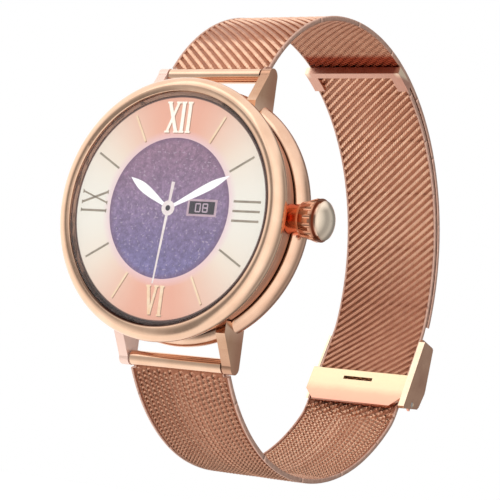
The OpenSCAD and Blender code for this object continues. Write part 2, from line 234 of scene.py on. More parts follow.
def case_material():
    """Polished convex band, lugs and rim; satin pink flat band above the groove. Painted shade: dark lines
    in the grooves, a darker, pinker back and darkened ends on the right lugs; painted highlight: pale left
    lugs.
    """
    body_r, flat_end = 0.0197, 0.0066
    grooves = ((0.0036, 0.00028), (0.0067, 0.00016), (0.01075, 0.0002))  # depth and half width
    lug_x, left_lug_z, lug_tip_z = 0.00885, 0.0168, (0.0175, 0.0195)
    m = Mat("case_gold", Metallic=1.0)
    x, y, z = m.xyz()
    height = m.math("ABSOLUTE", z)
    shine = m.ramp(m.noise(300, 4), (0.3, GOLD_D), (0.7, GOLD))
    flat = m.ramp(m.noise(1200, 4, 0.6, (0.3, 3, 0.3)),
                  (0.3, srgb(196, 146, 124)), (0.7, srgb(222, 174, 150)))
    body = m.math("LESS_THAN", m.hypot(x, z), body_r)
    band = m.mul(m.math("LESS_THAN", y, flat_end), body)
    # Painted shade: behind the flat band the case turns darker and pinker towards the back
    rosy_back_shade = m.mul(m.remap(y, 0.0072, 0.0096, 0.15, 0.75), m.math("GREATER_THAN", y, flat_end))
    c = m.mix(band, m.mix(rosy_back_shade, shine, srgb(206, 156, 134)), flat)
    # Painted shade: dark brown lines along the grooves
    for depth, wide in grooves:
        line = m.remap(m.math("ABSOLUTE", m.sub(y, depth)), wide * 0.7, wide * 1.3, 1.0, 0.0)
        c = m.mix(m.mul(line, body), c, srgb(70, 38, 26))
    # Painted highlight: the left lugs are made pale pink and less metallic
    left = m.mul(m.math("LESS_THAN", x, -lug_x), m.math("GREATER_THAN", height, left_lug_z))
    # Painted shade: the ends of the right lugs are darkened
    right_tip_shade = m.mul(m.math("GREATER_THAN", x, lug_x), m.remap(height, *lug_tip_z, 0, 1))
    c = m.tint(right_tip_shade, c, (0.74, 0.66, 0.6))
    m.put("Base Color", m.mix(left, c, srgb(250, 216, 202)))
    m.put("Metallic", m.remap(left, 0, 1, 1.0, 0.35))
    m.put("Roughness", m.math("ADD", m.gloss(0.12, 0.22), m.mul(band, 0.18)))
    m.bump(m.noise(1400, 4, 0.6, (0.4, 3, 0.4)), 0.05, 0.00004)
    return m.m


def bezel_material():
    """Polished bezel with a painted dark reflection inside its rim, heaviest at the lower left, and painted
    shade browning the outer edge low down.
    """
    rim_r, back_y = (0.01872, 0.01896), (0.0022, 0.003)
    m = Mat("bezel_gold", Metallic=1.0)
    x, y, z = m.xyz()
    c = m.ramp(m.noise(180, 4), (0.3, GOLD_D), (0.7, GOLD))
    # Painted dark reflection: a dark line inside the rim, heaviest at the lower left
    low = m.remap(m.sub(m.mul(z, 0.8), m.mul(x, 0.5)), -0.009, 0.012, 1.0, 0.15)
    rim = m.mul(m.remap(m.hypot(x, z), *rim_r, 1.0, 0.0), low)
    c = m.mix(rim, c, srgb(64, 34, 26))
    # Painted shade: the back of the outer edge turns browner low down
    shade_under = m.mul(m.remap(y, *back_y, 0.0, 0.7), m.remap(z, 0.004, -0.008, 0.0, 1.0))
    m.put("Base Color", m.mix(shade_under, c, srgb(132, 84, 64)))
    m.put("Roughness", m.gloss(0.1, 0.2))
    m.bump(m.noise(900, 5), 0.04, 0.00005)
    return m.m


def crown_material():
    """Copper brown fluted skirt, a darker line of painted shade and a pale dome that is a painted highlight.
    """
    root_x, dome_x = 0.022, 0.0266
    m = Mat("crown_gold", Metallic=1.0)
    along = m.math("ADD", m.xyz()[0], m.mul(m.noise(240, 4), 0.0002))
    # Painted shade in the dark line before the dome, and a painted highlight on the pale dome
    m.put("Base Color", m.ramp(m.remap(along, root_x, dome_x, 0, 1),
                               (0.0, srgb(196, 128, 98)), (0.5, srgb(214, 158, 128)),
                               (0.6, srgb(150, 98, 76)), (0.68, srgb(176, 130, 108)),
                               (0.78, srgb(252, 232, 210)), (1.0, srgb(255, 240, 220))))
    m.put("Roughness", m.gloss(0.1, 0.2))
    m.bump(m.noise(1200, 4), 0.04, 0.00004)
    return m.m


def cover_material():
    """Clasp cover: painted light on the edges and skirt, painted shade on the flat side walls."""
    m = Mat("clasp_cover_gold", Metallic=1.0)
    n = m.noise(220, 4)
    # Painted light and shade by facing: faces turned sideways take the darker colour of the walls
    facing = m.split(m.node("ShaderNodeTexCoord").outputs["Normal"])
    side = m.math("GREATER_THAN", m.math("ABSOLUTE", facing[0]), 0.7)
    bright = m.ramp(n, (0.3, srgb(234, 204, 176)), (0.7, srgb(246, 222, 194)))
    shaded_wall = m.ramp(n, (0.3, srgb(184, 140, 116)), (0.7, srgb(206, 164, 138)))
    m.put("Base Color", m.mix(side, bright, shaded_wall))
    m.put("Roughness", m.gloss(0.14, 0.26))
    m.bump(m.noise(1200, 4), 0.05, 0.00004)
    return m.m


def gasket_material():
    """Dark seal seen through the glass, with painted light making it browner and lighter towards the upper
    left.
    """
    m = Mat("glass_seal", Roughness=0.45)
    x, _, z = m.xyz()
    # Painted light: towards the upper left the seal lightens to pale brown
    pale = m.remap(m.sub(m.mul(z, 0.9), x), -0.004, 0.019, 0.0, 1.0)
    c = m.mix(pale, srgb(52, 30, 26), srgb(196, 156, 134))
    mottle = m.ramp(m.noise(900, 2), (0.3, srgb(60, 38, 32)), (0.7, srgb(120, 88, 74)))
    m.put("Base Color", m.mix(0.25, c, mottle))
    return m.m


def frame_material():
    """Satin mauve frame on the strap's end with painted highlights on its outer corners."""
    corner_x, corner_z = (0.0086, 0.0092), (0.0339, 0.0345)
    m = Mat("tail_frame_satin", Metallic=1.0)
    x, _, z = m.xyz()
    n = m.noise(1300, 4, 0.6, (3, 0.4, 0.4))
    c = m.ramp(n, (0.3, srgb(198, 150, 132)), (0.72, srgb(218, 170, 150)))
    # Painted highlight: bright spots on the outer corners
    corner = m.mul(m.remap(m.math("ABSOLUTE", x), *corner_x, 0, 1), m.remap(z, *corner_z, 0, 1))
    m.put("Base Color", m.mix(corner, c, srgb(255, 232, 206)))
    m.put("Roughness", m.remap(n, 0.25, 0.75, 0.32, 0.45))
    m.bump(n, 0.12, 0.00004)
    return m.m


def plate_material():
    """Polished clasp plate with a painted reflection running from cream at its upper edge to peach at the
    lower one, and painted shade along the lower edge.
    """
    low_z, high_z = -0.0243, -0.0188
    m = Mat("clasp_plate", Metallic=1.0)
    # Painted reflection from cream at the top to peach below, with painted shade in the dark band at the
    # bottom edge
    up = m.remap(m.math("ADD", m.xyz()[2], m.mul(m.noise(180, 4), 0.0012)), low_z, high_z, 0, 1)
    m.put("Base Color", m.ramp(up, (0.0, srgb(150, 84, 60)), (0.06, srgb(150, 84, 60)),
                               (0.12, srgb(226, 162, 140)), (0.5, srgb(222, 172, 146)),
                               (0.75, srgb(228, 200, 166)), (1.0, srgb(224, 204, 168))))
    m.put("Roughness", m.gloss(0.14, 0.24))
    m.bump(m.noise(900, 5), 0.04, 0.00005)
    return m.m


def glass_material():
    m = Mat("cover_glass", Roughness=0.03, Alpha=0.06)
    m.put("Base Color", m.ramp(m.noise(60, 2), (0.3, (0.9, 0.92, 0.95)), (0.7, (0.97, 0.98, 1.0))))
    return m.m


def window_material():
    """Dark sensor window with faint rings out to its edge."""
    window_r = 0.008
    m = Mat("sensor_window", Roughness=0.06)
    x, _, z = m.xyz()
    rings = m.ramp(m.remap(m.hypot(x, z), 0.0, window_r, 0, 1),
                   (0.0, (0.02, 0.03, 0.02)), (0.28, (0.01, 0.01, 0.012)),
                   (0.42, (0.035, 0.035, 0.04)), (0.55, (0.008, 0.008, 0.01)),
                   (0.93, (0.01, 0.01, 0.012)), (0.97, (0.08, 0.06, 0.05)))
    mottle = m.ramp(m.noise(500), (0.4, (0.005, 0.005, 0.006)), (0.7, (0.03, 0.03, 0.03)))
    m.put("Base Color", m.mix(0.3, rings, mottle))
    return m.m


MATS = {
    "gold": polished("rose_gold_polished"),
    "case": case_material(),
    "copper": polished("copper_orange", srgb(238, 134, 92), srgb(206, 96, 60), 0.16, 0.3),
    "steel": satin("bright_steel", (0.62, 0.6, 0.58), (0.5, 0.48, 0.46), 0.2, 0.35),
    "black": plastic("black_seal", (0.012, 0.012, 0.013), (0.03, 0.03, 0.032)),
    "back": satin("case_back_satin", srgb(112, 92, 84), srgb(88, 70, 64), 0.3, 0.45, 1500),
    "board": plastic("board_green", (0.01, 0.12, 0.05), (0.02, 0.2, 0.08), 0.3, 0.5),
    "cell": satin("cell_foil", (0.6, 0.6, 0.62), (0.45, 0.45, 0.47), 0.3, 0.5),
    "contact": polished("contact_gold", (0.9, 0.66, 0.28), (0.8, 0.55, 0.2), 0.15, 0.25),
    "flex": plastic("flex_amber", (0.5, 0.2, 0.03), (0.65, 0.3, 0.06), 0.3, 0.5),
    "glass": glass_material(),
    "seal": gasket_material(),
    "frame": frame_material(),
    "plate": plate_material(),
    "crown": crown_material(),
    "cover": cover_material(),
    "bezel": bezel_material(),
    "window": window_material(),
}
USE = {
    "bezel_ring": "bezel", "cover_glass": "glass", "glass_gasket": "seal", "display_flex": "flex",
    "mid_case": "case", "inner_frame": "black", "battery": "cell", "main_board": "board",
    "board_chips": "black", "motor_can": "steel", "motor_rotor": "steel", "sensor_board": "board",
    "sensor_window": "window", "case_back": "back", "back_gasket": "black", "back_screws": "steel",
    "charge_contacts": "contact", "crown_knob": "crown", "crown_stem": "steel", "crown_tube": "copper",
    "crown_seal": "black", "crown_clip": "steel", "crown_switch": "black", "bar_top": "steel",
    "bar_low": "steel", "end_tube_top": "gold", "end_tube_low": "gold", "strap_tongue": "gold",
    "tail_frame": "frame", "clasp_base": "plate", "clasp_cover": "cover", "clasp_pin": "steel",
    "tip_top_right": "steel", "tip_top_left": "steel", "tip_low_right": "steel", "tip_low_left": "steel",
}
for node, key in USE.items():
    o = nodes[node]
    o.data.materials.clear()
    o.data.materials.append(MATS[key])


# ---------------------------------------------------------------- mesh helpers
def mesh_object(name, verts, faces, mats, smooth=True, index=None):
    me = bpy.data.meshes.new(name)
    me.from_pydata([tuple(v) for v in verts], [], [tuple(f) for f in faces])
    for m in mats:
        me.materials.append(m)
    me.polygons.foreach_set("use_smooth", [smooth] * len(me.polygons))
    if index is not None:
        me.polygons.foreach_set("material_index", index)
    me.update()
    ob = bpy.data.objects.new(name, me)
    bpy.context.scene.collection.objects.link(ob)
    return ob


# ---------------------------------------------------------------- strap
# Lengths in mm and points as (y, z); angles in degrees round the loop's centre, from the +Y axis
LOOP_C = np.array([38.3, 0.0])
LOOP_R, TAIL_R = 39.3, 38.0
BAR = np.array([9.4, 23.2])
LEAD_A, LOW_END, TAIL_A, TAIL_END = 102.0, -43.0, -15.0, 66.0
TOP_LINKS, TOP_TURN = 6, 19
LOW_LINKS, TAIL_LINKS = 3, 5
GRID, CLASP_POINTS = 0.1, 190
KERNEL = 30  # half width, in grid steps, of the smoothing of a course


def on(c, r, a):
    return c + r * np.array([math.cos(a * D), math.sin(a * D)])


def arc(c, r, a0, a1):
    n = max(2, int(abs(a1 - a0) * D * r / GRID))
    a = np.linspace(a0, a1, n + 1) * D
    return c + r * np.stack([np.cos(a), np.sin(a)], 1)


def arcs(c, r, a0, turn, count):
    """Arcs of equal turn, end to end, one for each link."""
    return [arc(c, r, a0 + turn * i, a0 + turn * (i + 1)) for i in range(count)]


# Two lead links run from the spring bar to the loop on an arc that meets the loop's own direction
lead_end = on(LOOP_C, LOOP_R, LEAD_A)
chord = lead_end - BAR
lead_turn = 2 * (math.atan2(chord[1], chord[0]) / D - (LEAD_A - 90))
lead_r = np.hypot(*chord) / 2 / math.sin(lead_turn / 2 * D)
lead_c = lead_end - lead_r * np.array([math.cos(LEAD_A * D), math.sin(LEAD_A * D)])
flip = np.array([1.0, -1.0])

top_parts = [arc(lead_c, lead_r, LEAD_A + lead_turn * (2 - i) / 2, LEAD_A + lead_turn * (1 - i) / 2)
             for i in (0, 1)]
top_parts += arcs(LOOP_C, LOOP_R, LEAD_A, -TOP_TURN, TOP_LINKS)
clasp_in, clasp_out = on(LOOP_C, LOOP_R, LOW_END), on(LOOP_C, TAIL_R, TAIL_A)
low_parts = [p * flip for p in top_parts[:2]]
low_parts += arcs(LOOP_C, LOOP_R, -LEAD_A, (LEAD_A + LOW_END) / LOW_LINKS, LOW_LINKS)
low_parts.append(clasp_in + (clasp_out - clasp_in) * np.linspace(0, 1, CLASP_POINTS)[:, None])
low_parts += arcs(LOOP_C, TAIL_R, TAIL_A, (TAIL_END - TAIL_A) / TAIL_LINKS, TAIL_LINKS)


class Course:
    """The strap's middle line: position, tangent and outward normal at each length s.

    smooth is the width of the rounding of its corners, in grid steps; 0 leaves it as it is."""

    def __init__(self, parts, smooth):
        pts = [parts[0][:1]]
        ends = [0]
        for p in parts:
            pts.append(p[1:])
            ends.append(ends[-1] + len(p) - 1)
        p = np.concatenate(pts)
        if smooth:
            k = np.exp(-0.5 * (np.arange(-KERNEL, KERNEL + 1) / smooth) ** 2)
            k /= k.sum()
            q = np.pad(p, ((KERNEL, KERNEL), (0, 0)), mode="reflect", reflect_type="odd")
            p = np.stack([np.convolve(q[:, i], k, "valid") for i in (0, 1)], 1)
        s = np.concatenate([[0], np.cumsum(np.linalg.norm(np.diff(p, axis=0), axis=1))])
        self.joints = [s[e] for e in ends]
        self.length = s[-1]
        self.grid = np.linspace(0, s[-1], int(s[-1] / GRID))
        self.p = np.stack([np.interp(self.grid, s, p[:, i]) for i in (0, 1)], 1)
        t = np.gradient(self.p, axis=0)
        t /= np.linalg.norm(t, axis=1)[:, None]
        n = np.stack([t[:, 1], -t[:, 0]], 1)
        self.t = t
        self.n = n * np.sign(((self.p - LOOP_C) * n).sum(1))[:, None]

    def at(self, s, which="p"):
        """Position, normal or tangent at s; beyond the ends the line runs on straight."""
        a = getattr(self, which)
        out = np.stack([np.interp(s, self.grid, a[:, i]) for i in (0, 1)], -1)
        if which == "p":
            over = np.asarray(s) - np.clip(s, 0, self.length)
            t = np.stack([np.interp(s, self.grid, self.t[:, i]) for i in (0, 1)], -1)
            out = out + over[..., None] * t
        return out

    def bend(self, x, s, n):
        """Flat (across, along, out) in mm to the object's frame in metres."""
        q = self.at(s) + n[..., None] * self.at(s, "n")
        return np.stack([x, q[..., 0], q[..., 1]], -1) * MM


ROW_STEP, ROW_MARGIN = 0.46, 0.2
STRAP_HALF, END_HALF, SHOULDER = 9.45, 8.7, 1.65
# Coil pitch across the strap, its reach along the strap, its height, and its wire's width and depth
ROUND, FLAT = (2.1, 0.44, 0.2, 0.3, 0.24), (1.76, 0.36, 0.18, 0.34, 0.23)
REACH = 0.44
COIL_INSET, SKEW_INSET = 0.36, 0.28
STEPS, SIDES = 8, 6
# Share of a coil's pitch by which each row is shifted from the last, which sets the ribs' slant
TOP_LEAN, TAIL_LEAN, FRONT_LEAN = 0.295, -0.31, 0.5
SKEW = 1.15
CORE_STEP, SHOULDER_STEP, CORE_INSET = 0.6, 0.08, 0.4
# Sections of the core and of a closed edge: inset from the strap's side, and height
CORE_SECTION = [(-0.4, -0.1), (0.4, -0.1), (0.4, 0.1), (-0.4, 0.1)]
EDGE_SECTION = [(0.4, -0.3), (0.25, -0.43), (0.08, -0.38), (0, -0.2),
                (0, 0.2), (0.08, 0.38), (0.25, 0.43), (0.4, 0.3)]


def half_width(s):
    """The strap is narrower where it passes between the lugs."""
    return STRAP_HALF if s > SHOULDER else END_HALF


def wire_row(phase, skew, half, section):
    """One flattened coil across the strap: vertices (x, ds, n), faces and end caps.

    skew turns the wires of its outer side upright, or those of its inner side where it is below 0."""
    pitch, reach, height, wide, deep = section
    t0 = -math.pi * 2 * half / pitch
    count = int(2 * half / pitch * STEPS)
    t = np.linspace(t0, -t0, count + 1)
    u = t + phase
    x = (t - skew * np.sin(u)) * pitch / (2 * math.pi)
    p = np.stack([x, -reach * np.sin(u), height * np.cos(u)], 1)
    tan = np.gradient(p, axis=0)
    tan /= np.linalg.norm(tan, axis=1)[:, None]
    n1 = np.cross(tan, [0, 1, 0])
    n1 /= np.linalg.norm(n1, axis=1)[:, None]
    n2 = np.cross(tan, n1)
    a = np.arange(SIDES) * 2 * math.pi / SIDES
    ring = p[:, None] + deep * np.cos(a)[:, None] * n1[:, None] + wide * np.sin(a)[:, None] * n2[:, None]
    m = len(p)
    i = np.arange(m - 1)[:, None] * SIDES
    j = np.arange(SIDES)
    k = (j + 1) % SIDES
    f = np.stack([i + j, i + k, i + SIDES + k, i + SIDES + j], -1).reshape(-1, 4)
    caps = [list(range(SIDES))[::-1], list(range((m - 1) * SIDES, m * SIDES))]
    return ring.reshape(-1, 3), f, caps


def strap_piece(name, course, s0, s1, k0, k1, phase, skew):
    """Rows k0..k1 of the weave, the strip of core between s0 and s1, and the two closed edges."""
    verts, faces, mat = [], [], []
    base = 0
    for k in range(k0, k1):
        s_row = (k + 0.5) * ROW_STEP
        half = half_width(s_row - REACH) - COIL_INSET - SKEW_INSET * abs(skew(k))
        v, f, caps = wire_row(phase(k), skew(k), half, ROUND if skew(k) else FLAT)
        verts.append(v + np.array([0, s_row, 0]))
        faces += (f + base).tolist()
        faces += [[c + base for c in cap] for cap in caps]
        mat += [0] * (len(f) + 2)
        base += len(v)
    cuts = np.linspace(s0, s1, max(3, int((s1 - s0) / CORE_STEP)))
    if s0 < SHOULDER < s1:
        cuts = np.sort(np.append(cuts, (SHOULDER, SHOULDER + SHOULDER_STEP)))
    for side, sec, slot in ((0, CORE_SECTION, 1), (1, EDGE_SECTION, 2), (-1, EDGE_SECTION[::-1], 2)):
        m = len(sec)
        rows = []
        for s in cuts:
            h = half_width(s)
            for inset, n in sec:
                x = (h - inset) * side if side else (h - CORE_INSET) * (1 if inset > 0 else -1)
                rows.append((x, s, n))
        verts.append(np.array(rows))
        for i in range(len(cuts) - 1):
            for j in range(m):
                q = base + i * m
                faces.append([q + j, q + (j + 1) % m, q + m + (j + 1) % m, q + m + j])
        faces += [[base + j for j in range(m)][::-1], [base + (len(cuts) - 1) * m + j for j in range(m)]]
        mat += [slot] * ((len(cuts) - 1) * m + 2)
        base += len(cuts) * m
    v = np.concatenate(verts)
    return mesh_object(name, course.bend(v[:, 0], v[:, 1], v[:, 2]), faces, [WEAVE, CORE_SHADE, EDGE], True, mat)


def weave_material():
    """Rose gold wire with painted shade on the low front strap, beneath the top of the loop and on parts of
    the tail, and a painted shadow just above the tail frame.
    """
    loop_y, inside_r, floor_r = 0.0383, (0.0392, 0.0394), (0.0386, 0.0387)
    m = Mat("woven_wire", Metallic=1.0)
    _, y, z = m.xyz()
    dy = m.sub(y, loop_y)
    r, turn = m.hypot(dy, z), m.math("ARCTAN2", z, dy)
    c = m.ramp(m.noise(700, 3), (0.25, srgb(224, 174, 146)), (0.75, srgb(250, 208, 178)))
    # Painted shade on the low front strap
    front = m.mul(m.remap(y, 0.036, 0.062, 1, 0), m.remap(z, -0.012, -0.02, 0, 1))
    c = m.tint(front, c, (0.66, 0.56, 0.53))
    # Painted shade on the inner face beneath the top of the loop
    inside = m.mul(m.remap(r, *inside_r, 1, 0), m.remap(r, *floor_r, 0, 1))
    shade_under = m.mul(inside, m.remap(z, 0.018, 0.024, 0, 1))
    c = m.tint(shade_under, c, (0.62, 0.5, 0.46))
    # Painted shade on parts of the inner side of the tail
    tail = m.mul(m.math("LESS_THAN", r, floor_r[0]), m.math("GREATER_THAN", y, 0.05))
    tail_shade = m.math("MAXIMUM", m.remap(turn, 14 * D, -6 * D, 0, 1), m.remap(turn, 40 * D, 52 * D, 0, 0.45))
    c = m.tint(m.mul(tail, tail_shade), c, (0.72, 0.6, 0.57))
    # Painted shadow: dark red band on the top strap's inner face just above the tail frame
    frame_shadow = m.mul(m.remap(turn, 73.5 * D, 71.5 * D, 0, 1), m.remap(turn, 60 * D, 62 * D, 0, 1))
    m.put("Base Color", m.tint(m.mul(shade_under, frame_shadow), c, (0.6, 0.22, 0.16)))
    m.put("Roughness", m.remap(m.noise(3000, 2), 0.3, 0.7, 0.3, 0.45))
    m.bump(m.noise(5000, 3), 0.1, 0.00002)
    return m.m


# Painted shade: a darker sheet inside the weave stands in for the shaded wires seen through its gaps
def core_shade_material():
    m = Mat("weave_core_shade", Metallic=0.6)
    n = m.noise(1800, 3)
    m.put("Base Color", m.ramp(n, (0.3, srgb(170, 110, 84)), (0.7, srgb(196, 138, 110))))
    m.put("Roughness", m.remap(n, 0.3, 0.7, 0.5, 0.7))
    return m.m


WEAVE, CORE_SHADE = weave_material(), core_shade_material()
EDGE = satin("weave_edge", srgb(226, 190, 172), srgb(198, 158, 142), 0.4, 0.55, 1600)


def strap(tag, course, count, s_in, s_out, phase, skew, stiff=None):
    """Pieces from the middle of one link to the middle of the next, each spanning one joint; the first and
    last ride the end links and the rest stay where they are.

    stiff is (link, near, far): the cut in that link moves to near past its start; far has no effect."""
    j = course.joints
    mids = [(j[i] + j[i + 1]) / 2 for i in range(count)]
    cuts = [s_in] + mids + [s_out]
    bend_from = list(cuts)
    if stiff:
        link, near, far = stiff
        cuts[link], bend_from[link] = j[link - 1] + near, j[link - 1] + far
    rows = [int(round(c / ROW_STEP)) for c in cuts]
    rows[0] = int(math.ceil((s_in + REACH + ROW_MARGIN) / ROW_STEP - 0.5))
    rows[-1] = int(math.floor((s_out - REACH - ROW_MARGIN) / ROW_STEP + 0.5))
    for i in range(count + 1):
        s0, s1 = cuts[i], cuts[i + 1]
        ob = strap_piece(f"{tag}_weave_{i + 1}", course, s0, s1, rows[i], rows[i + 1], phase, skew)
        if i < count:
            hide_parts(f"{tag}_link_{i + 1}")
        if i in (0, count):
            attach(ob, f"{tag}_{1 if i == 0 else count}")
        else:
            a, b = course.at(bend_from[i]), course.at(s1)
            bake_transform(ob)


top = Course(top_parts, 0)
low = Course(low_parts, 11)

# Rows of the lower half where the slant turns, where the upright ribs change sides and where they end
TURN, FRONT_END = int(low.joints[5] / ROW_STEP), int((low.joints[3] + 1.5) / ROW_STEP)
RIB_END = TURN + 6
WEAVE_START, TONGUE_LAP, FRAME_GAP = 1.15, 0.1, 0.1
UNDER_CLASP = (6, 0.8, 11.2)


def top_phase(k):
    return 2 * math.pi * TOP_LEAN * k


def low_phase(k):
    """Rows step by half a pitch up to TURN, and by less and the other way on the tail after it."""
    return 2 * math.pi * (FRONT_LEAN * min(k, TURN) + TAIL_LEAN * max(0, k - TURN))


def top_skew(k):
    return 0


def low_skew(k):
    """Upright ribs show on the outside of the front strap and on the inside of the part near the clasp."""
    return 0 if k > RIB_END else (SKEW if k < FRONT_END else -SKEW)


strap("top", top, 8, WEAVE_START, top.length + TONGUE_LAP, top_phase, top_skew)
strap("low", low, 11, WEAVE_START, low.length - FRAME_GAP, low_phase, low_skew, UNDER_CLASP)


# ---------------------------------------------------------------- dial
TINY = 1e-9


def at_depth(loop, y):
    return [(p[0] * MM, y * MM, p[1] * MM) for p in loop]


def shape(name, loops, y0, y1, mat, bevel=0.0):
    """Closed outlines drawn as (x, z) in mm, made into thin solids from y0 (front) to y1."""
    verts, faces = [], []
    for loop in loops:
        loop = list(loop)
        area = sum(a[0] * b[1] - b[0] * a[1] for a, b in zip(loop, loop[1:] + loop[:1]))
        if area < 0:
            loop.reverse()
        n, base = len(loop), len(verts)
        if bevel:
            c = np.array(loop)
            nxt, prv = np.roll(c, -1, 0), np.roll(c, 1, 0)
            d1, d0 = nxt - c, c - prv
            d1 /= np.linalg.norm(d1, axis=1)[:, None] + TINY
            d0 /= np.linalg.norm(d0, axis=1)[:, None] + TINY
            inward = np.stack([-(d1 + d0)[:, 1], (d1 + d0)[:, 0]], 1)
            inward /= np.linalg.norm(inward, axis=1)[:, None] + TINY
            yb = y0 + min(bevel, (y1 - y0) * 0.8)
            rings = [at_depth(c + inward * bevel, y0), at_depth(c, yb), at_depth(c, y1)]
        else:
            rings = [at_depth(loop, y0), at_depth(loop, y1)]
        for points in rings:
            verts += points
        faces.append([base + i for i in range(n)])
        faces.append([base + (len(rings) - 1) * n + i for i in range(n)][::-1])
        for r in range(len(rings) - 1):
            for i in range(n):
                k = (i + 1) % n
                a = base + r * n
                faces.append([a + k, a + i, a + n + i, a + n + k])
    ob = mesh_object(name, verts, faces, [mat], False)
    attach(ob, "case")
    return ob


def glow(name, color_stops, scale, strength, rough=0.5):
    """A lit display colour: base colour from noise, emitted by itself."""
    m = Mat(name, Roughness=rough)
    return m.display(m.ramp(m.noise(scale, 3), *color_stops), strength)


def dial_material():
    """Cream at 3 and 9 running to peach at 12 and 6, with a faint sunburst and a dark rim."""
    halo_r, rim_r, rays, ray_depth = (0.0112, 0.0126), (0.0176, 0.01772), 14.0, 0.12
    m = Mat("dial_ring", Roughness=0.45)
    x, _, z = m.xyz()
    z2 = m.mul(z, z)
    share = m.math("DIVIDE", z2, m.math("ADD", m.math("ADD", m.mul(x, x), z2), TINY))
    comb = m.node("ShaderNodeCombineXYZ")
    m.link(m.mul(m.math("ARCTAN2", z, x), rays), comb.inputs[0])
    ray = m.node("ShaderNodeTexNoise")
    ray.inputs["Scale"].default_value = 3.0
    m.link(comb.outputs[0], ray.inputs["Vector"])
    share = m.math("ADD", share, m.mul(m.sub(ray.outputs["Fac"], 0.5), ray_depth))
    c = m.ramp(share, (0.02, srgb(255, 250, 238)), (0.35, srgb(255, 238, 220)),
               (0.68, srgb(252, 212, 190)), (0.95, srgb(250, 184, 158)))
    r = m.hypot(x, z)
    c = m.mix(m.remap(r, *halo_r, 0.75, 0.0), c, srgb(250, 214, 224))
    c = m.mix(m.remap(r, *rim_r, 0.0, 1.0), c, srgb(96, 62, 52))
    return m.display(c, GLOW)


def disc_material():
    """Glittering mauve disc, bluer towards 6 o'clock, with a darker rim."""
    top_z, low_z, rim_r = 0.009, -0.0105, (0.0103, 0.0113)
    m = Mat("dial_disc", Roughness=0.5)
    x, _, z = m.xyz()
    down = m.remap(z, low_z, top_z, 1.0, 0.0)
    down = m.math("ADD", down, m.mul(m.sub(m.noise(120, 3), 0.5), 0.35))
    base = m.ramp(down, (0.0, srgb(150, 112, 140)), (0.45, srgb(144, 118, 156)),
                  (0.75, srgb(126, 108, 155)), (1.0, srgb(120, 110, 164)))
    grain = m.ramp(m.noise(1500, 6, 0.75), (0.36, (0.62, 0.6, 0.66)), (0.52, (1, 1, 1)),
                   (0.68, (1.5, 1.5, 1.45)))
    c = m.mix(0.85, base, grain, "MULTIPLY")
    spark = m.math("GREATER_THAN", m.noise(2100, 1), 0.66)
    c = m.mix(m.mul(spark, 0.5), c, srgb(206, 186, 206))
    c = m.mix(m.remap(m.hypot(x, z), *rim_r, 0.0, 0.75), c, srgb(112, 74, 112))
    return m.display(c, GLOW)


def polar(r, a):
    return r * math.cos(a), r * math.sin(a)


def circle(r, n=160):
    return [polar(r, 2 * math.pi * i / n) for i in range(n)]


def rect(cx, cz, w, h):
    return [(cx - w, cz - h), (cx + w, cz - h), (cx + w, cz + h), (cx - w, cz + h)]


def stroke(a, b, w0, w1=None):
    """A bar from a to b, w0 wide at a and w1 at b."""
    w1 = w0 if w1 is None else w1
    a, b = np.array(a, float), np.array(b, float)
    d = b - a
    d /= np.linalg.norm(d)
    n = np.array([-d[1], d[0]])
    return [tuple(a + n * w0 / 2), tuple(a - n * w0 / 2), tuple(b - n * w1 / 2), tuple(b + n * w1 / 2)]


# Half width of a letter and its extra advance on each side, as shares of its height
LETTERS = {"I": (0, 0), "V": (0.17, 0.12), "X": (0.18, 0.14)}
THIN, SERIF_W = 0.75, 0.5


def numeral(text, centre, turn, h, pitch, w, serif):
    """Strokes of a Roman numeral of height h and stroke w about a centre, turned by turn degrees."""
    at, x = [], 0.0
    for ch in text:
        side = h * LETTERS[ch][1]
        at.append(x + side)
        x += pitch + 2 * side
    mid = (at[0] + at[-1]) / 2
    out, u, d = [], h / 2, -h / 2
    for ch, cx in zip(text, at):
        cx -= mid
        g = h * LETTERS[ch][0]
        if ch == "I":
            out.append(stroke((cx, d), (cx, u), w))
            ends = [(cx, u), (cx, d)]
        elif ch == "V":
            out += [stroke((cx - g, u), (cx, d), w), stroke((cx + g, u), (cx, d), w * THIN)]
            ends = [(cx - g, u), (cx + g, u)]
        else:
            out += [stroke((cx - g, u), (cx + g, d), w), stroke((cx + g, u), (cx - g, d), w * THIN)]
            ends = [(cx - g, u), (cx + g, u), (cx - g, d), (cx + g, d)]
        if serif:
            out += [stroke((ex - serif, ez), (ex + serif, ez), w * SERIF_W) for ex, ez in ends]
    c, s = math.cos(turn * D), math.sin(turn * D)
    return [[(centre[0] + px * c - pz * s, centre[1] + px * s + pz * c) for px, pz in loop] for loop in out]


# Depths behind the glass face, in mm: the display's two faces, then the marks raised on it
FACE, PANEL_BACK = 0.9, 2.0
SHADOW, MARK, GREY_MARK, GOLD_BATON = 0.87, 0.815, 0.83, 0.82
RING_R, DISC_R = 17.85, 11.2
NUMERAL_SHIFT, BATON_SHIFT = (0.16, -0.14), (0.14, -0.12)

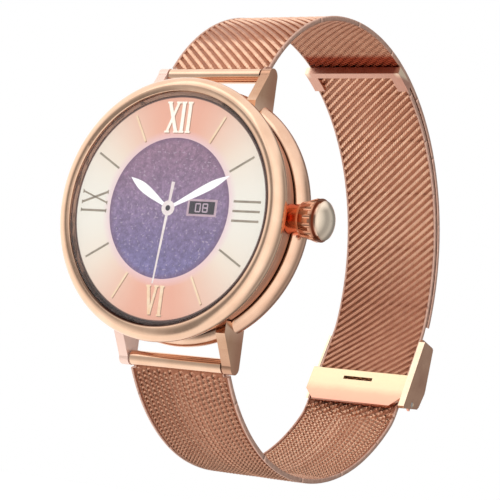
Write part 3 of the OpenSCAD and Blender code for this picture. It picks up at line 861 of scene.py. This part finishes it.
ring = shape("dial_base", [circle(RING_R)], FACE, PANEL_BACK, dial_material())
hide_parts("display_panel")
shape("dial_disc", [circle(DISC_R)], 0.885, 0.905, disc_material())
pale = glow("numeral_cream", [(0.35, srgb(255, 240, 222)), (0.7, srgb(255, 250, 240))], 900, 0.75)
warm = glow("numeral_gold", [(0.35, srgb(250, 214, 176)), (0.7, srgb(255, 232, 200))], 900, 0.6)
grey = glow("numeral_grey", [(0.35, srgb(166, 152, 132)), (0.7, srgb(192, 178, 156))], 900, 0.3)
shade = glow("numeral_shade", [(0.35, srgb(206, 156, 128)), (0.7, srgb(218, 168, 138))], 900, 0.3)
hand_m = glow("hand_white", [(0.35, srgb(248, 246, 250)), (0.7, srgb(255, 255, 255))], 700, 0.75, 0.35)
cream = glow("hub_cream", [(0.35, srgb(236, 220, 220)), (0.7, srgb(250, 240, 236))], 700, 0.6)
frame_m = glow("date_frame", [(0.35, srgb(200, 168, 184)), (0.7, srgb(220, 188, 202))], 900, 0.45)
digit_m = glow("date_lilac", [(0.35, srgb(190, 166, 184)), (0.7, srgb(212, 190, 204))], 900, 0.5)
ink = glow("date_ink", [(0.35, srgb(30, 14, 38)), (0.7, srgb(48, 26, 56))], 900, 0.2)


def shifted(loops, by):
    return [[(x + by[0], z + by[1]) for x, z in loop] for loop in loops]


twelve = numeral("XII", (0.1, 14.5), 0, 4.7, 1.2, 0.62, 0.46)
six = numeral("VI", (0.0, -14.6), 0, 4.5, 1.3, 0.56, 0.42)
nine = numeral("IX", (-14.4, 0.2), 90, 4.9, 1.5, 0.36, 0.3)
three = numeral("III", (14.4, 0.0), -90, 4.9, 1.5, 0.36, 0)
shape("numeral_12_shadow", shifted(twelve, NUMERAL_SHIFT), SHADOW, FACE, shade)
shape("numeral_12", twelve, MARK, FACE, pale, 0.05)
shape("numeral_6_shadow", shifted(six, NUMERAL_SHIFT), SHADOW, FACE, shade)
shape("numeral_6", six, MARK, FACE, warm, 0.05)
shape("numeral_9", nine, GREY_MARK, FACE, grey, 0.03)
shape("numeral_3", three, GREY_MARK, FACE, grey, 0.03)

BATON_IN, BATON_OUT, BATON_W = 12.1, 16.9, 0.34
light, dull, shade_under = [], [], []
for hour in range(12):
    if hour % 3 == 0:
        continue
    a = (90 - 30 * hour) * D
    bar = stroke(polar(BATON_IN, a), polar(BATON_OUT, a), BATON_W)
    if hour in (11, 1, 5, 7):
        light.append(bar)
        shade_under += shifted([bar], BATON_SHIFT)
    else:
        dull.append(bar)
shape("batons_shadow", shade_under, SHADOW, FACE, shade)
shape("batons_gold", light, GOLD_BATON, FACE, warm, 0.04)
shape("batons_grey", dull, GREY_MARK, FACE, grey, 0.03)


HAND_ROOT, ROOT_W, TIP_W, LEAF_STEPS = 0.8, 0.26, 0.03, 14


def leaf(tip, width, widest):
    """Leaf shaped hand from the hub to its tip, widest at the given share of its length."""
    length = np.hypot(*tip)
    d = np.array(tip) / length
    m = np.array([-d[1], d[0]])
    left, right = [], []
    for i in range(LEAF_STEPS + 1):
        t = i / LEAF_STEPS
        if t < widest:
            w = ROOT_W + (width / 2 - ROOT_W) * math.sin(math.pi / 2 * (t / widest)) ** 1.5
        else:
            w = width / 2 * math.cos(math.pi / 2 * (t - widest) / (1 - widest)) ** 0.9
        p = d * (HAND_ROOT + (length - HAND_ROOT) * t)
        left.append(tuple(p + m * max(w, TIP_W)))
        right.append(tuple(p - m * max(w, TIP_W)))
    return left + right[::-1]


HOUR_A, MINUTE_A, SECOND_A = 149 * D, 27 * D, 265 * D
shape("hand_hour", [leaf(polar(9.1, HOUR_A), 1.5, 0.6)], 0.845, 0.88, hand_m, 0.03)
shape("hand_minute", [leaf(polar(11.9, MINUTE_A), 1.3, 0.66)], 0.835, 0.88, hand_m, 0.03)
shape("hand_second", [stroke(polar(-4.2, SECOND_A), (0, 0), 0.62, 0.42),
                      stroke((0, 0), polar(12.0, SECOND_A), 0.5, 0.26)], 0.825, 0.87, cream, 0.02)
shape("hub", [circle(1.2, 48)], 0.815, 0.87, cream, 0.03)
shape("hub_pin", [circle(0.45, 32)], 0.805, 0.86, ink)

DATE_X, DATE_Z = 6.3, 0.25
DIGIT_W, DIGIT_H, DIGIT_T = 0.42, 0.62, 0.2
# Ends of the seven bars of a digit, as shares of its half width and half height, and the bars of 0 and 8
BARS = {"a": ((-1, 1), (1, 1)), "b": ((1, 1), (1, 0)), "c": ((1, 0), (1, -1)), "d": ((-1, -1), (1, -1)),
        "e": ((-1, 0), (-1, -1)), "f": ((-1, 1), (-1, 0)), "g": ((-1, 0), (1, 0))}
ZERO, EIGHT = "abcdef", "abcdefg"


def digit(bars, cx):
    """The bars of one digit of the date, centred on cx."""
    return [stroke(*[(cx + DIGIT_W * x, DATE_Z + DIGIT_H * z) for x, z in BARS[k]], DIGIT_T) for k in bars]


shape("date_frame", [rect(DATE_X, DATE_Z, 2.75, 1.35)], 0.865, FACE, frame_m, 0.03)
shape("date_window", [rect(DATE_X, DATE_Z, 2.35, 1.0)], 0.855, FACE, ink)
shape("date_digits", digit(ZERO, DATE_X - 0.72) + digit(EIGHT, DATE_X + 0.62), 0.845, 0.87, digit_m)

# ---------------------------------------------------------------- camera, floor and light
AZ, EL, ROLL = 32.452 * D, -6.531 * D, 7.534 * D
CAMERA_AT = Vector((0.161898, -0.228517, -0.036959))
FOCAL_PX, IMAGE_PX, SENSOR_MM = 1814.363, 500, 36

back = Vector((math.sin(AZ) * math.cos(EL), -math.cos(AZ) * math.cos(EL), math.sin(EL)))
level = Vector((math.cos(AZ), math.sin(AZ), 0))
upright = back.cross(level)
right = level * math.cos(ROLL) + upright * math.sin(ROLL)
up = -level * math.sin(ROLL) + upright * math.cos(ROLL)
cam = bpy.data.objects.new("camera", bpy.data.cameras.new("camera"))
bpy.context.scene.collection.objects.link(cam)
cam.matrix_world = Matrix.Translation(CAMERA_AT) @ Matrix((
    (right.x, up.x, back.x), (right.y, up.y, back.y), (right.z, up.z, back.z))).to_4x4()
cam.data.sensor_width = SENSOR_MM
cam.data.lens = SENSOR_MM * FOCAL_PX / IMAGE_PX
cam.data.clip_start, cam.data.clip_end = 0.01, 20
bpy.context.scene.camera = cam

# The floor lies below the lowest point that the open strap reaches
FLOOR_DROP, FLOOR_HALF, FLOOR_Y = 0.14, 4, 0.3
floor_m = Mat("studio_floor", Roughness=0.9, Emission_Strength=0.8)
floor_m.put("Base Color", floor_m.ramp(floor_m.noise(3, 2),
                                       (0.3, (0.5, 0.5, 0.5)), (0.7, (0.54, 0.54, 0.54))))
floor_m.b.inputs["Emission Color"].default_value = (1, 1, 1, 1)
floor = mesh_object("floor", [(x * FLOOR_HALF, FLOOR_Y + y * FLOOR_HALF, cad_box[0].z - FLOOR_DROP)
                              for x, y in ((-1, -1), (1, -1), (1, 1), (-1, 1))],
                    [(0, 1, 2, 3)], [floor_m.m], False)
floor.visible_glossy = False
floor.visible_diffuse = False

LIT = 1.25
TENT = [  # brightness of the light by its direction round the object, in degrees
    (-180, 0.16), (-168, 0.3), (-152, 0.9), (-100, 1.1), (-60, 1.05), (-42, 0.75), (-30, 0.26),
    (-15, 0.26), (-4, 0.85), (20, 1.1), (55, 1.05), (80, 0.8), (98, 0.55), (116, 0.3), (132, 0.32),
    (141, 0.4), (153, 0.4), (163, 0.24), (180, 0.16)]
ABOVE, BELOW, CAP_RISE = 0.53, 0.7, 4.3


def studio_world():
    """White behind the object; for its light and reflections, a bright tent with two dark gaps."""
    w = bpy.data.worlds.new("studio")
    bpy.context.scene.world = w
    w.use_nodes = True
    g = Graph(w.node_tree)
    sep = g.node("ShaderNodeSeparateXYZ")
    g.link(g.node("ShaderNodeTexCoord").outputs["Generated"], sep.inputs[0])
    x, y, z = sep.outputs
    turn = g.math("ARCTAN2", x, g.mul(y, -1))
    share = g.math("ADD", g.math("DIVIDE", turn, 2 * math.pi), 0.5)
    sides = g.ramp(share, *[((a + 180) / 360, (v * LIT, v * LIT * 0.985, v * LIT * 0.965)) for a, v in TENT])
    high = g.mul(g.sub(z, ABOVE), CAP_RISE)
    deep = g.mul(g.sub(g.mul(z, -1), BELOW), CAP_RISE)
    caps = g.math("MINIMUM", g.math("MAXIMUM", g.math("MAXIMUM", high, deep), 0.0), 1.0)
    tent = g.mix(caps, sides, (1.15, 1.13, 1.11))
    seen = g.node("ShaderNodeLightPath").outputs["Is Camera Ray"]
    g.link(g.mix(seen, tent, (1, 1, 1)), g.tree.nodes["Background"].inputs["Color"])


studio_world()

KEY_AT, KEY_TO, KEY_SIZE, KEY_POWER = Vector((-0.4, -0.8, 0.8)), Vector((0, 0.02, 0)), 0.9, 1.5
key_data = bpy.data.lights.new("key", "AREA")
key_data.shape = "RECTANGLE"
key_data.size, key_data.size_y, key_data.energy = KEY_SIZE, KEY_SIZE, KEY_POWER
key_light = bpy.data.objects.new("key", key_data)
bpy.context.scene.collection.objects.link(key_light)
key_light.location = KEY_AT
key_light.rotation_euler = (KEY_TO - KEY_AT).to_track_quat("-Z", "Y").to_euler()
bpy.context.scene.view_settings.view_transform = "Standard"
